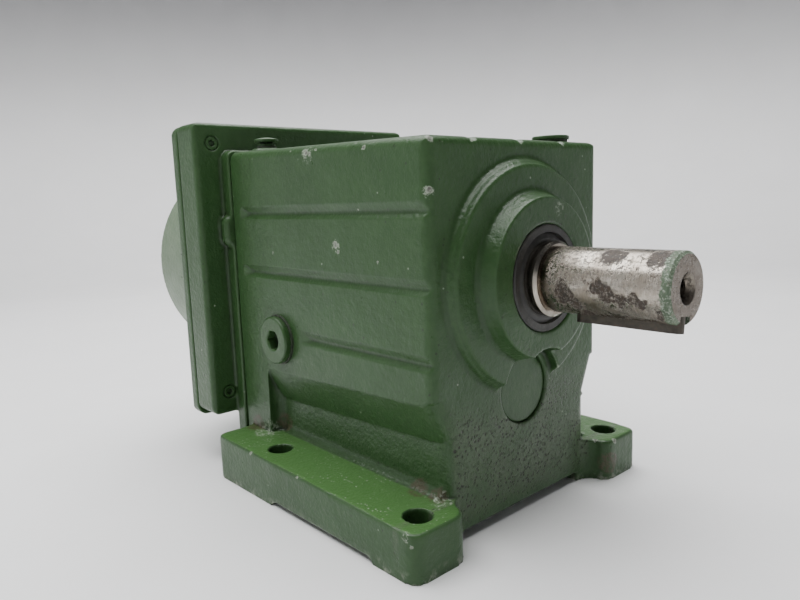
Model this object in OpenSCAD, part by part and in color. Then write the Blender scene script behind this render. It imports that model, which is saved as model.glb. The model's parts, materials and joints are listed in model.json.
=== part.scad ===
// Foot-mounted inline gear reducer, two spur stages on a 55 mm centre distance.
// Frame: origin at the centre of the four foot bolts on the mounting plane,
// +X along the output shaft towards its free end, +Z up, millimetres.

/* [Shaft line] */
// Height of the output and input axis above the mounting plane
axis_h = 118; // [117.5:0.5:119]
// Distance from the output axis down to the countershaft axis
centre_d = 55; // [55]
// Diameter of the output shaft's free end
shaft_d = 30; // [28:1:30]
// Length of the output shaft's free end
shaft_len = 60; // [50:1:70]
// Turn of the output keyway from straight down, at rest
key_turn = -7.5; // [-15:0.5:15]

/* [Output key] */
// Width of the output key
key_w = 8; // [6:1:8]
// Height of the output key
key_h = 7; // [6:1:7]
// Length of the output key
key_len = 47.5; // [40:0.5:50]

/* [Housing] */
// Front face of the body, ahead of the foot bolt centre
front_x = 55; // [54.5:0.1:55.5]
// Parting face at the back of the body, behind the foot bolt centre
part_x = -106.5; // [-108:0.5:-106]
// Half of the body's width across its flat sides
half_w = 63.2; // [62.8:0.1:64]
// Half of the width of the recessed lower walls
low_w = 55; // [54.5:0.1:55.5]
// Height of the body's top at the front face
top_front = 182.4; // [181:0.1:183]
// Draft of the top face, rising towards the back, in degrees
top_draft = 1.56; // [1.2:0.02:1.8]
// Depth of the long grooves on the sides and the top
groove_t = 1.9; // [1:0.1:2.2]
// Distance between neighbouring long grooves
groove_gap = 33; // [31:0.5:34]

/* [Front boss] */
// Crest radius of the outer boss step
boss1_r = 52.4; // [51.5:0.1:53]
// Height of the outer boss step above the front face
boss1_t = 5.6; // [5:0.1:6]
// Crest radius of the inner boss step
boss2_r = 37.5; // [36.5:0.1:38]
// Height of the inner boss step above the outer one
boss2_t = 8.4; // [8:0.1:8.5]
// Radius of the flat cut through the boss round the closing cap
spot_r = 21.5; // [20:0.1:22]

/* [Feet] */
// Spacing of the foot holes along the shaft
hole_dx = 108; // [106:1:110]
// Spacing of the foot holes across the shaft
hole_dy = 147; // [145:1:148]
// Diameter of the foot holes
hole_d = 13; // [11:0.5:14]
// Front end of the foot rails
foot_x1 = 67.2; // [67:0.1:68]
// Back end of the foot rails
foot_x0 = -100.5; // [-102:0.5:-100]
// Outer edge of the foot rails
foot_w = 88; // [87:0.5:90]
// Thickness of the foot rails at their front end
foot_t = 22.2; // [21:0.1:23]

/* [Rear cover and adapter] */
// Thickness of the cover's rim, behind the parting face
rim_t = 8.4; // [8:0.1:9]
// Half of the width of the square flange
flange_w = 80.5; // [80:0.5:82]
// Top edge of both square flanges
flange_top = 204.2; // [203.5:0.1:205]
// Bottom edge of the cover's square flange
flange_low = 30; // [29:0.1:31]
// Bottom edge of the adapter's square flange
plate_low = 25.8; // [25:0.1:27]
// Thickness of the cover's square flange
flange_t = 21; // [20:0.5:22]
// Thickness of the adapter's square flange
plate_t = 8; // [8:0.1:9]
// Radius of the adapter's round neck
neck_r = 70; // [69:0.5:71]
// Length of the adapter's round neck
neck_len = 56; // [54:0.1:57]
// Spacing of the flange screws across the shaft
bolt_dy = 138; // [137:1:140]
// Spacing of the flange screws up the flange
bolt_dz = 149; // [147:1:150]

/* [Motor side] */
// Radius of the pilot recess for the motor flange
pilot_r = 47.5; // [47:0.5:48]
// Bolt circle diameter of the motor flange
motor_pcd = 115; // [114:1:116]
// Diameter of the hollow input shaft's bore
motor_bore = 11; // [9:1:11]

/* [Plugs] */
// Centre of the side plugs along the shaft
plug_x = -64.7; // [-66:0.1:-64]
// Height of the side plugs' centre
plug_z = 82; // [81.5:0.1:82.5]
// Collar radius of the side plugs
plug_r = 13.2; // [12:0.1:13.5]

/* [Hidden] */
$fn = 64;

// Colours
PAINT = "#4f7350";
STEEL = "#a8a6a0";
DARK_STEEL = "#4a4844";
GROUND = "#c4c4c2";
RUBBER = "#1c1c1c";
PAPER = "#5a5348";
BRASS = "#a58b4a";

// Play between a screw or a ring and its seat, and between two running faces
fit = 0.02;
run = 0.05;

// Axis heights and the main stations along the shaft
low_z = axis_h - centre_d;
boss1_x = front_x + boss1_t;
boss2_x = boss1_x + boss2_t;
shoulder_x = boss2_x + 5.5;
shaft_end = shoulder_x + shaft_len;
floor_z = 5;
wall = 7.2;
cavity_x = front_x - 8;
lip_x = part_x + 10.5;
seam_t = 0.8;
cover_x = part_x - seam_t;
flange_x = cover_x - rim_t;
back_x = flange_x - flange_t;
plate_x = back_x - seam_t;
neck_x = plate_x - plate_t;
motor_x = neck_x - neck_len;
body_z1 = top_front + (front_x - part_x) * tan(top_draft);

// Side recess: the slope from the flat side down to the lower wall
recess_x = -80;
recess_draft = -1.91;
slope_z1 = 67.2;
slope_z0 = 48.5;
foot_rise = 2.9;

// Gears: teeth, module, profile shift, front face station, face width
OUT_GEAR = [41, 2, -0.35, 16, 30];
OUT_PINION = [14, 2, 0.35, 18, 34];
IN_GEAR = [70, 1.25, 0, -58, 18];
IN_PINION = [18, 1.25, 0, -56, 22];
thinning = 0.14;

// Ball bearings: bore, outer diameter, width, ball diameter, balls, front face station
OUT_FRONT = [35, 62, 14, 7.9, 10, 48];
OUT_REAR = [30, 55, 13, 7.1, 11, -31];
COUNTER_FRONT = [15, 35, 11, 5.9, 8, 45];
COUNTER_REAR = [17, 40, 12, 6.7, 8, -31];
IN_FRONT = [25, 52, 15, 7.9, 9, -95];
IN_REAR = [25, 52, 15, 7.9, 9, -153];

// Bearing bracket
bracket_x = -30;
bracket_t = 16;
bracket_w = 47;
BRACKET_SCREWS = [[-41, 161], [41, 161], [-40, 36], [40, 36]];
BRACKET_DOWELS = [[-41, 147], [40, 47]];

// Screws that hold the rear cover, and its dowels
COVER_SCREWS = [for (s = [-1, 1], p = [[54.5, 40], [54.5, 93], [54.5, 146], [28, 179]]) [s * p[0], p[1]]];
COVER_DOWELS = [[-54.5, 66], [54.5, 119]];
ADAPTER_SCREWS = [for (sy = [-1, 1], sz = [-1, 1]) [sy * bolt_dy / 2, axis_h + sz * bolt_dz / 2]];

// Breather and flat plug on the top: centre, collar radius, thread radius, collar height, pad height
TOP_PLUGS = [[-89, -49, 6.8, 4, 2.6, 1.2], [38.9, 44.4, 9.6, 7, 2, 0.1]];
ring_t = 1.2;

// ---------- Shapes used more than once ----------

// Extrudes a Y-Z outline along the shaft from x0 to x1
module x_prism(x0, x1) {
    translate([x0, 0, 0]) rotate([90, 0, 90]) linear_extrude(x1 - x0) children();
}

// Extrudes an X-Z outline across the shaft from y0 to y1
module y_prism(y0, y1) {
    translate([0, y1, 0]) rotate([90, 0, 0]) linear_extrude(y1 - y0) children();
}

// Revolves [radius, station] points about a line along the shaft
module turned(pts, z = axis_h, y = 0) {
    translate([0, y, z]) rotate([0, 90, 0]) rotate_extrude($fn = 96) polygon(pts);
}

// Cylinder along the shaft from x0 to x1
module bar(r, x0, x1, y = 0, z = axis_h, r2 = undef) {
    translate([x0, y, z]) rotate([0, 90, 0]) cylinder(h = x1 - x0, r1 = r, r2 = is_undef(r2) ? r : r2);
}

// Ring along the shaft
module ring(r_out, r_in, x0, x1, y = 0, z = axis_h) {
    turned([[r_in, x0], [r_out, x0], [r_out, x1], [r_in, x1]], z, y);
}

// Rectangle with four round corners, from its lower left corner
module round_rect(x0, y0, x1, y1, r) {
    translate([x0 + r, y0]) square([x1 - x0 - 2 * r, y1 - y0]);
    translate([x0, y0 + r]) square([x1 - x0, y1 - y0 - 2 * r]);
    for (x = [x0 + r, x1 - r], y = [y0 + r, y1 - r]) translate([x, y]) circle(r);
}

// Fillet in the corner at p, filling towards [sx, sy]
module corner_fill(p, r, sx, sy) {
    translate(p) flipped(sx, sy) difference() {
        translate([-0.5, -0.5]) square(r + 0.5);
        translate([r, r]) circle(r);
    }
}

module flipped(sx, sy) {
    mirror([sx < 0 ? 1 : 0, 0]) mirror([0, sy < 0 ? 1 : 0]) children();
}

// Both sides of the shaft line
module both_sides() {
    children();
    mirror([0, 1, 0]) children();
}

// Socket head cap screw along the shaft; the head's seat is at x, the tip towards dir
module cap_screw(d, length, x, y, z, dir) {
    head_r = d * 0.75;
    translate([x, y, z]) rotate([0, 90 * dir, 0]) difference() {
        union() {
            cylinder(h = length, r = d / 2 - fit);
            translate([0, 0, -d]) cylinder(h = d, r = head_r);
            translate([0, 0, -d - 0.4]) cylinder(h = 0.45, r1 = head_r - 0.5, r2 = head_r);
        }
        translate([0, 0, -d - 1]) cylinder(h = d * 0.6 + 1, r = d * 0.48, $fn = 6);
    }
}

// Straight pin with chamfered ends along the shaft
module pin_x(r, x0, x1, y, z) {
    turned([[0, x0], [r - 0.5, x0], [r, x0 + 0.5], [r, x1 - 0.5], [r - 0.5, x1], [0, x1]], z, y);
}

// Parallel key along the shaft with one or two round ends, on the shaft's lower side
module key_shape(w, h, x0, x1, z0, round_front) {
    translate([0, 0, z0]) linear_extrude(h) union() {
        translate([x0 + w / 2, -w / 2]) square([x1 - x0 - (round_front ? w : w / 2), w]);
        translate([x0 + w / 2, 0]) circle(w / 2);
        if (round_front) translate([x1 - w / 2, 0]) circle(w / 2);
    }
}

// ---------- Gear teeth ----------

function inv_deg(a) = tan(a) * 180 / PI - a;

function half_angle(g, r) = let (
    rp = g[1] * g[0] / 2,
    rb = rp * cos(20),
    a = r > rb ? acos(rb / r) : 0,
    shift = 2 * g[2] * tan(20) / g[0] * 180 / PI
) 90 / g[0] + shift + inv_deg(20) - inv_deg(a) - thinning / 2 / rp * 180 / PI;

function tip_r(g) = g[1] * (g[0] / 2 + 1 + g[2]);

function root_r(g) = g[1] * (g[0] / 2 - 1.25 + g[2]);

function flank(g) = let (
    rb = g[1] * g[0] / 2 * cos(20),
    start = max(rb, root_r(g) + 0.1),
    steps = 4
) concat([[root_r(g), half_angle(g, start) + 12 / g[0]]],
    [for (i = [0:steps]) let (r = start + (tip_r(g) - start) * i / steps) [r, half_angle(g, r)]]);

// Points of a spur gear, with a tooth at angle 0
function gear_points(g) = let (f = flank(g), n = len(f)) [
    for (k = [0:g[0] - 1], s = [-1, 1], i = [0:n - 1])
        let (p = s < 0 ? f[i] : f[n - 1 - i], a = 360 * k / g[0] + s * p[1])
            p[0] * [cos(a), sin(a)]];

// Spur teeth along the shaft, with a tooth pointing to angle up from +Y
module teeth(g, z, turn) {
    translate([g[3] - g[4], 0, z]) rotate([turn, 0, 0]) rotate([90, 0, 90])
        linear_extrude(g[4]) polygon(gear_points(g));
}

// ---------- Ball bearings ----------

function pitch_r(b) = (b[0] + b[1]) / 4;

module bearing_ring(b, z, outer) {
    step = (b[1] - b[0]) / 4 * 0.46;
    ball_r = b[3] / 2;
    seat_r = outer ? b[1] / 2 - fit : b[0] / 2 + fit;
    race_r = outer ? pitch_r(b) + step : pitch_r(b) - step;
    x0 = b[5] - b[2];
    c = 0.6;
    s = outer ? -1 : 1;
    color(STEEL) translate([0, 0, z]) rotate([0, 90, 0]) rotate_extrude($fn = 96) difference() {
        polygon([[seat_r, x0 + c], [seat_r + s * c, x0], [race_r, x0], [race_r, x0 + b[2]],
            [seat_r + s * c, x0 + b[2]], [seat_r, x0 + b[2] - c]]);
        translate([pitch_r(b), x0 + b[2] / 2]) circle(ball_r + run, $fn = 48);
    }
}

module ball_set(b, z) {
    ball_r = b[3] / 2;
    mid = b[5] - b[2] / 2;
    cage = ball_r + 1;
    color(BRASS) translate([mid, 0, z]) rotate([0, 90, 0]) {
        for (k = [0:b[4] - 1]) rotate([0, 0, 360 * k / b[4]]) translate([pitch_r(b), 0, 0])
            sphere(ball_r, $fn = 20);
        difference() {
            rotate_extrude($fn = 48) translate([pitch_r(b) - 0.8, -cage]) square([1.6, 2 * cage]);
            for (k = [0:b[4] - 1]) rotate([0, 90, 360 * k / b[4]])
                cylinder(h = b[1], r = ball_r + 0.12, $fn = 24);
        }
    }
}

// ---------- Housing ----------

// Body outline seen along the shaft, with the top at height z1
module body_outline(z1, w, r) {
    translate([-w, floor_z]) square([2 * w, z1 - r - floor_z]);
    translate([-w + r, floor_z]) square([2 * (w - r), z1 - floor_z]);
    for (s = [-1, 1]) translate([s * (w - r), z1 - r]) circle(r);
}

module body_blank() {
    edge = 4;
    corner = 4.5;
    intersection() {
        translate([front_x, 0, top_front]) rotate([0, top_draft, 0]) translate([-front_x, 0, -top_front])
            x_prism(part_x - 8, front_x + 8) union() {
                body_outline(top_front, half_w, 5);
                translate([-half_w, -10]) square([2 * half_w, 30]);
            }
        y_prism(-half_w - 1, half_w + 1) union() {
            translate([part_x, floor_z]) square([front_x - edge - part_x, 190]);
            translate([part_x, floor_z]) square([front_x - part_x, top_front - edge - floor_z]);
            translate([front_x - edge, top_front - edge]) circle(edge);
        }
        linear_extrude(200) union() {
            translate([part_x - 1, -half_w]) square([front_x - corner - part_x + 1, 2 * half_w]);
            translate([part_x - 1, -half_w + corner]) square([front_x - part_x + 1, 2 * (half_w - corner)]);
            for (s = [-1, 1]) translate([front_x - corner, s * (half_w - corner)]) circle(corner);
        }
    }
}

// Space cut away below the slope on one side
module side_recess() {
    r = 6;
    slope = (half_w - low_w) / (slope_z1 - slope_z0);
    inside = 4;
    outside = 20;
    intersection() {
        translate([front_x, 0, slope_z1]) rotate([0, recess_draft, 0]) translate([-front_x, 0, -slope_z1])
            x_prism(recess_x - 10, front_x + 4) polygon([[low_w - inside, -40],
                [low_w - inside, slope_z0 - inside / slope], [half_w + outside, slope_z1 + outside / slope],
                [half_w + outside + 60, -40]]);
        linear_extrude(150) union() {
            translate([recess_x, low_w + r]) square([200, 80]);
            translate([recess_x + r, low_w]) square([200, 80]);
            translate([recess_x + r, low_w + r]) circle(r);
        }
    }
}

// Rounds the lower front corner of the body on one side, up to the slope and along it
module lower_corner() {
    r = 8;
    lean = atan((half_w - low_w) / (slope_z1 - slope_z0));
    long = (slope_z1 - slope_z0) / cos(lean);
    for (part = [[0, floor_z - slope_z0 - 1, 0], [lean, -1, long + 1]])
        translate([front_x - r, low_w, slope_z0]) rotate([-part[0], 0, 0])
            translate([0, -r, part[1]]) linear_extrude(part[2] - part[1]) difference() {
                square(r + 2);
                circle(r);
            }
}

// Long groove in the side at height z, from x0 to the front face
module side_groove(z, x0) {
    ramp = 9;
    intersection() {
        x_prism(x0, front_x + 1) polygon([[half_w + 0.5, z + 5.2], [half_w - groove_t, z + 0.7],
            [half_w - groove_t, z - 0.3], [half_w + 0.5, z - 3.3]]);
        linear_extrude(200) polygon([[x0, half_w + 1], [x0, half_w], [x0 + ramp, half_w - groove_t - 0.1],
            [front_x + 2, half_w - groove_t - 0.1], [front_x + 2, half_w + 1]]);
    }
}

module top_groove(y, x0) {
    translate([front_x, y, top_front]) rotate([0, top_draft, 0])
        x_prism(x0 - front_x, 2) polygon([[-3.6, 0.5], [-0.4, -groove_t], [0.4, -groove_t], [3.6, 0.5]]);
}

module front_boss() {
    flare = 2.6;
    blend = 3;
    steps = [[boss1_r, front_x, boss1_t], [boss2_r, boss1_x, boss2_t]];
    bar(boss1_r + flare, front_x - 3, front_x + 0.01);
    for (s = steps) {
        bar(s[0] + flare, s[1] - 0.01, s[1] + s[2], r2 = s[0]);
        translate([s[1], 0, axis_h]) rotate([0, 90, 0]) rotate_extrude($fn = 96) difference() {
            translate([s[0] + flare - 2, -0.5]) square([blend + 1.6, blend + 0.5]);
            translate([s[0] + flare + blend - 0.6, blend]) circle(blend);
        }
    }
}

// One foot rail on the +Y side, with its blends into the body
module foot_rail() {
    inner = 56;
    r = 6;
    blend = 9;
    relief = 2;
    intersection() {
        linear_extrude(40) union() {
            round_rect(foot_x0, inner, foot_x1, foot_w, r);
            translate([foot_x0, inner - 10]) square([front_x - foot_x0, 20]);
            corner_fill([front_x, inner], blend, 1, -1);
        }
        y_prism(30, foot_w + 1) difference() {
            polygon([[foot_x0, 0], [foot_x1, 0], [foot_x1, foot_t], [foot_x0, foot_t + foot_rise]]);
            polygon([[-44, -1], [-43, 0], [-40, relief], [37, relief], [40, 0], [41, -1]]);
        }
    }
}

module cavity() {
    top = top_front - wall - 0.5;
    side = half_w - wall;
    low = low_w - wall;
    x_prism(lip_x, cavity_x) polygon([[-low, floor_z + wall], [low, floor_z + wall], [low, 53], [side, 71],
        [side, top - 6], [side - 6, top], [6 - side, top], [-side, top - 6], [-side, 71], [-low, 53]]);
    x_prism(part_x - 1, lip_x + 1) round_rect(-50, 17, 50, 171, 8);
}

module housing_inside_bosses() {
    bar(38.5, 31, cavity_x + 1);
    bar(24, 33, cavity_x + 1, z = low_z);
    for (p = COVER_SCREWS) bar(7, part_x, part_x + 24, p[0], p[1]);
    for (p = COVER_DOWELS) bar(6.5, part_x, part_x + 14, p[0], p[1]);
    for (s = [-1, 1]) {
        translate([bracket_x, s > 0 ? 34 : -58, 140]) cube([13, 24, 28]);
        translate([bracket_x, s > 0 ? 33 : -50, 26]) cube([13, 17, 27]);
        translate([plug_x, s * (half_w - 13), plug_z]) rotate([-90 * s, 0, 0]) cylinder(h = 8, r = 16);
    }
    for (p = TOP_PLUGS) translate([p[0], p[1], 170]) cylinder(h = 10, r = p[3] + 4);
}

module housing() {
    color(PAINT) difference() {
        union() {
            difference() {
                body_blank();
                both_sides() {
                    side_recess();
                    lower_corner();
                    for (k = [0, 1]) side_groove(axis_h + k * groove_gap, -99);
                    side_groove(axis_h - groove_gap, -43);
                }
                for (k = [-1:1]) top_groove(k * groove_gap, -72);
                cavity();
            }
            intersection() {
                body_blank();
                difference() {
                    housing_inside_bosses();
                    both_sides() side_recess();
                }
            }
            front_boss();
            both_sides() foot_rail();
            for (i = [0, 1]) translate([TOP_PLUGS[i][0], TOP_PLUGS[i][1], 178])
                cylinder(h = top_z(i) - 178, r = 8 + i);
        }
        bar(spot_r, front_x, shaft_end, z = low_z);
        bar(OUT_FRONT[1] / 2, 25, OUT_FRONT[5]);
        bar(27, 40, 53);
        bar(23, 50, boss2_x);
        bar(25, boss2_x - 8, boss2_x + 1);
        bar(25.6, boss2_x - 0.6, boss2_x + 0.01, r2 = 26.2);
        bar(COUNTER_FRONT[1] / 2, 25, front_x + 1, z = low_z);
        for (x = [-1, 1], y = [-1, 1]) translate([x * hole_dx / 2, y * hole_dy / 2, -1])
            cylinder(h = 40, d = hole_d);
        for (p = COVER_SCREWS) bar(3, part_x - 1, part_x + 19, p[0], p[1]);
        for (p = COVER_DOWELS) bar(2.5, part_x - 1, part_x + 9, p[0], p[1]);
        for (p = BRACKET_SCREWS) bar(3, bracket_x - 1, bracket_x + 14, p[0], p[1]);
        for (p = BRACKET_DOWELS) bar(2.5, bracket_x - 1, bracket_x + 8, p[0], p[1]);
        for (s = [-1, 1]) translate([plug_x, s * (half_w + 1), plug_z]) rotate([90 * s, 0, 0])
            cylinder(h = 16, r = 11);
        for (p = TOP_PLUGS) translate([p[0], p[1], 160]) cylinder(h = 40, r = p[3]);
    }
}

// Height of the seat under top plug i
function top_z(i) = let (p = TOP_PLUGS[i]) top_front + (front_x - p[0]) * tan(top_draft) + p[5] + 0.2;

module closing_cap() {
    x0 = COUNTER_FRONT[5] + 0.4;
    r = COUNTER_FRONT[1] / 2 - fit;
    color(PAINT) turned([[0, x0 + 5], [r - 2, x0 + 5], [r - 2, x0], [r, x0], [r, front_x - 1.9],
        [r - 0.7, front_x - 1.2], [0, front_x - 1.2]], low_z);
}

// ---------- Plugs ----------

// Collar screw plug pointing up from z = 0, with a hexagon socket
module plug(collar_r, thread_r, collar_t, depth, socket) {
    edge = collar_t * 0.22;
    difference() {
        union() {
            cylinder(h = collar_t - edge, r = collar_r);
            translate([0, 0, collar_t - edge]) cylinder(h = edge, r1 = collar_r, r2 = collar_r - edge);
            translate([0, 0, -depth]) cylinder(h = depth + 0.5, r = thread_r - fit);
        }
        translate([0, 0, collar_t - socket * 0.6]) cylinder(h = socket, r = socket / 2 / cos(30), $fn = 6);
        translate([0, 0, collar_t - 0.7]) cylinder(h = 0.8, r1 = socket / 2, r2 = socket / 2 + 1.1);
    }
}

module washer(r_out, r_in) {
    difference() {
        cylinder(h = ring_t, r = r_out);
        translate([0, 0, -1]) cylinder(h = ring_t + 2, r = r_in);
    }
}

// Places a shape on the housing's side, pointing outwards
module on_side(s) {
    translate([plug_x, s * half_w, plug_z]) rotate([-90 * s, 0, 0]) children();
}

module side_plugs() {
    color(PAINT) for (s = [-1, 1]) on_side(s) translate([0, 0, ring_t]) plug(plug_r, 11, 3.6, 11, 10);
}

module side_plug_rings() {
    color(DARK_STEEL) for (s = [-1, 1]) on_side(s) washer(plug_r + 0.7, 11.1);
}

// Screw-in neck under a wide domed cap, with air slots round the neck
module breather() {
    p = TOP_PLUGS[0];
    neck = 2.2;
    dome = 20;
    rim = 1.6;
    rise = dome - sqrt(dome * dome - p[2] * p[2]);
    color(PAINT) translate([p[0], p[1], top_z(0) + ring_t]) difference() {
        union() {
            translate([0, 0, -9]) cylinder(h = 9.5, r = p[3] - fit);
            cylinder(h = 1.2, r = 5);
            cylinder(h = neck + 0.2, r = 3.6);
            intersection() {
                translate([0, 0, neck]) cylinder(h = rim + rise + 1, r = p[2]);
                translate([0, 0, neck + rim + rise - dome]) sphere(dome);
            }
        }
        for (k = [0:3]) translate([0, 0, 1.3]) rotate([0, 0, 45 + 90 * k]) cube([5, 1, 0.8]);
        translate([0, 0, -10]) cylinder(h = 13, r = 1.5);
    }
}

module top_plug() {
    p = TOP_PLUGS[1];
    color(PAINT) translate([p[0], p[1], top_z(1) + ring_t]) plug(p[2], p[3], p[4], 9, 5);
}

module top_plug_rings() {
    color(DARK_STEEL) for (i = [0, 1]) let (p = TOP_PLUGS[i]) translate([p[0], p[1], top_z(i)])
        washer(p[3] + 1.6, p[3] + 0.1);
}

// ---------- Rear cover, adapter and their screws ----------

module rim_outline(inset) {
    w = half_w + 1.2 - inset;
    round_rect(-w, floor_z + 1 + inset, w, body_z1 + 1.2 - inset, 5);
}

module flange_outline(inset, low, r) {
    round_rect(inset - flange_w, low + inset, flange_w - inset, flange_top - inset, r);
}

// Rectangle from x0 to x1 and a to b, with corner radius back at x0 and front at x1
module edge_profile(x0, x1, a, b, back, front) {
    translate([x0 + back, a]) square([x1 - x0 - back - front, b - a]);
    translate([x0, a + back]) square([(x1 - x0) / 2, b - a - 2 * back]);
    translate([(x0 + x1) / 2, a + front]) square([(x1 - x0) / 2, b - a - 2 * front]);
    for (y = [a, b], s = [[x0 + back, back], [x1 - front, front]])
        translate([s[0], y + (y == a ? s[1] : -s[1])]) circle(s[1]);
}

// Square flange with every edge rounded
module flange_plate(x0, x1, low, corner, back, front) {
    intersection() {
        x_prism(x0 - 1, x1 + 1) flange_outline(0, low, corner);
        y_prism(-flange_w - 1, flange_w + 1) edge_profile(x0, x1, low, flange_top, back, front);
        linear_extrude(300) edge_profile(x0, x1, -flange_w, flange_w, back, front);
    }
}

module cover_gasket() {
    color(PAPER) difference() {
        x_prism(cover_x, part_x) difference() {
            rim_outline(2.8);
            round_rect(-50, 17, 50, 171, 8);
        }
        for (p = COVER_SCREWS) bar(3.3, cover_x - 1, part_x + 1, p[0], p[1]);
        for (p = COVER_DOWELS) bar(2.6, cover_x - 1, part_x + 1, p[0], p[1]);
    }
}

// Small half-round locating lug on the side of the rim
module rim_lug() {
    r = 5;
    translate([(part_x + flange_x) / 2 - 0.4, half_w + 0.2, 137]) {
        cylinder(h = 9, r = r);
        for (z = [0, 9]) translate([0, 0, z]) sphere(r);
    }
}

module rear_cover() {
    color(PAINT) difference() {
        union() {
            x_prism(flange_x - 1, cover_x) rim_outline(0);
            flange_plate(back_x, flange_x, flange_low, 5, 0.8, 3);
            intersection() {
                both_sides() rim_lug();
                translate([flange_x - 0.5, -100, 0]) cube([cover_x - flange_x + 0.4, 200, 200]);
            }
            bar(34, cover_x - 1, -91);
        }
        x_prism(back_x - 1, cover_x + 1) difference() {
            round_rect(-46, 58, 46, 167, 8);
            translate([0, axis_h]) circle(35);
            translate([-50, axis_h - 4]) square([100, 8]);
            translate([-4, 50]) square([8, 130]);
        }
        bar(IN_FRONT[1] / 2, back_x - 1, IN_FRONT[5]);
        bar(21, back_x - 1, -90);
        bar(55.1, back_x - 1, back_x + 4.3);
        for (p = COVER_SCREWS) {
            bar(3.3, back_x - 1, cover_x + 1, p[0], p[1]);
            bar(5.2, back_x - 1, back_x + 8, p[0], p[1]);
        }
        for (p = COVER_DOWELS) bar(2.5, cover_x - 7, cover_x + 1, p[0], p[1]);
        for (p = ADAPTER_SCREWS) {
            bar(2.8, back_x - 1, flange_x + 1, p[0], p[1]);
            bar(4.5, flange_x - 4, flange_x + 1, p[0], p[1]);
        }
    }
}

module cover_screws() {
    color(DARK_STEEL) for (p = COVER_SCREWS) cap_screw(6, 39, back_x + 8, p[0], p[1], 1);
}

module cover_dowels() {
    color(GROUND) for (p = COVER_DOWELS) pin_x(2.5 - fit, cover_x - 6.5, part_x + 8.5, p[0], p[1]);
}

module adapter_gasket() {
    color(PAPER) difference() {
        x_prism(plate_x, back_x) difference() {
            flange_outline(3, flange_low, 5);
            translate([0, axis_h]) circle(56);
        }
        for (p = ADAPTER_SCREWS) bar(2.8, plate_x - 1, back_x + 1, p[0], p[1]);
    }
}

module input_adapter() {
    hub_x = IN_REAR[5] + 4;
    seal_x = IN_REAR[5] - IN_REAR[2];
    color(PAINT) difference() {
        union() {
            flange_plate(neck_x, plate_x, plate_low, 7, 1.5, 0.8);
            turned([[0, motor_x], [neck_r - 0.6, motor_x], [neck_r, motor_x + 0.6], [neck_r, neck_x + 1],
                [55, neck_x + 1], [55, back_x + 4], [0, back_x + 4]]);
        }
        bar(pilot_r, motor_x - 1, motor_x + 3.5);
        bar(43, motor_x - 1, seal_x - 9);
        ring(49, 34, seal_x - 2, hub_x + 40);
        bar(IN_REAR[1] / 2, seal_x, hub_x + 40);
        bar(20, seal_x - 8, seal_x + 1);
        bar(16, seal_x - 12, seal_x + 1);
        for (k = [0:3]) rotate_on_axis(45 + 90 * k)
            bar(3.4, motor_x - 1, motor_x + 20, 0, axis_h + motor_pcd / 2);
        for (p = ADAPTER_SCREWS) bar(2.5, neck_x - 1, plate_x + 1, p[0], p[1]);
        bar(34.1, hub_x, hub_x + 40);
    }
}

module rotate_on_axis(a) {
    translate([0, 0, axis_h]) rotate([a, 0, 0]) translate([0, 0, -axis_h]) children();
}

module adapter_screws() {
    head = 4;
    color(PAINT) for (p = ADAPTER_SCREWS) translate([flange_x - head, p[0], p[1]]) rotate([0, -90, 0])
        difference() {
            union() {
                cylinder(h = 26, r = 2.5 - fit);
                translate([0, 0, -head + 0.7]) cylinder(h = head - 0.7, r = 4);
                translate([0, 0, -head + 0.3]) cylinder(h = 0.4, r1 = 3.6, r2 = 4);
            }
            translate([0, 0, -head - 1]) cylinder(h = 3, r = 2, $fn = 6);
        }
}

// ---------- Bearing bracket ----------

module bearing_bracket() {
    x0 = bracket_x - bracket_t;
    color("#6d6f6a") difference() {
        union() {
            x_prism(bracket_x - 9, bracket_x) round_rect(-bracket_w, 29, bracket_w, 168, 6);
            bar(34, x0, bracket_x);
            bar(26, x0, bracket_x, z = low_z);
        }
        bar(OUT_REAR[1] / 2, OUT_REAR[5] - OUT_REAR[2], bracket_x + 1);
        bar(24, x0 - 1, bracket_x);
        bar(COUNTER_REAR[1] / 2, COUNTER_REAR[5] - COUNTER_REAR[2], bracket_x + 1, z = low_z);
        bar(16.5, x0 - 1, bracket_x, z = low_z);
        for (p = BRACKET_SCREWS) bar(3.3, x0 - 1, bracket_x + 1, p[0], p[1]);
        for (p = BRACKET_DOWELS) bar(2.5, x0 - 1, bracket_x + 1, p[0], p[1]);
    }
}

module bracket_screws() {
    color(DARK_STEEL) for (p = BRACKET_SCREWS) cap_screw(6, 21, bracket_x - 9, p[0], p[1], 1);
}

module bracket_dowels() {
    color(GROUND) for (p = BRACKET_DOWELS) pin_x(2.5 - fit, bracket_x - 8.5, bracket_x + 7, p[0], p[1]);
}

// ---------- Output shaft group ----------

module output_shaft() {
    end_c = 1.2;
    seat = OUT_FRONT[0] / 2;
    r = shaft_d / 2;
    back = -50;
    key_x = shaft_end - 0.3;
    color(STEEL) rotate_on_axis(key_turn) difference() {
        turned([[0, back], [14, back], [15, back + 1], [15, -45.4], [14.2, -45.4], [14.2, -44], [15, -44],
            [15, -31], [15, -14], [19, -14], [19, 16], [24, 16], [24, 20], [21, 20], [21, 34], [seat, 34],
            [seat, shoulder_x - 1.4], [r + 1.2, shoulder_x], [r, shoulder_x], [r, shaft_end - end_c],
            [r - end_c, shaft_end], [0, shaft_end]]);
        translate([0, 0, axis_h - r - 2]) linear_extrude(6) union() {
            translate([key_x - key_len + key_w / 2, -key_w / 2]) square([key_len, key_w]);
            translate([key_x - key_len + key_w / 2, 0]) circle(key_w / 2);
        }
        translate([0, 0, axis_h + 15]) key_shape(10.04, 8, -12, 14, 0, true);
        bar(4.25, shaft_end - 22, shaft_end + 1);
        bar(4.25, shaft_end - 3, shaft_end + 0.01, r2 = 6.6);
    }
}

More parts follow.
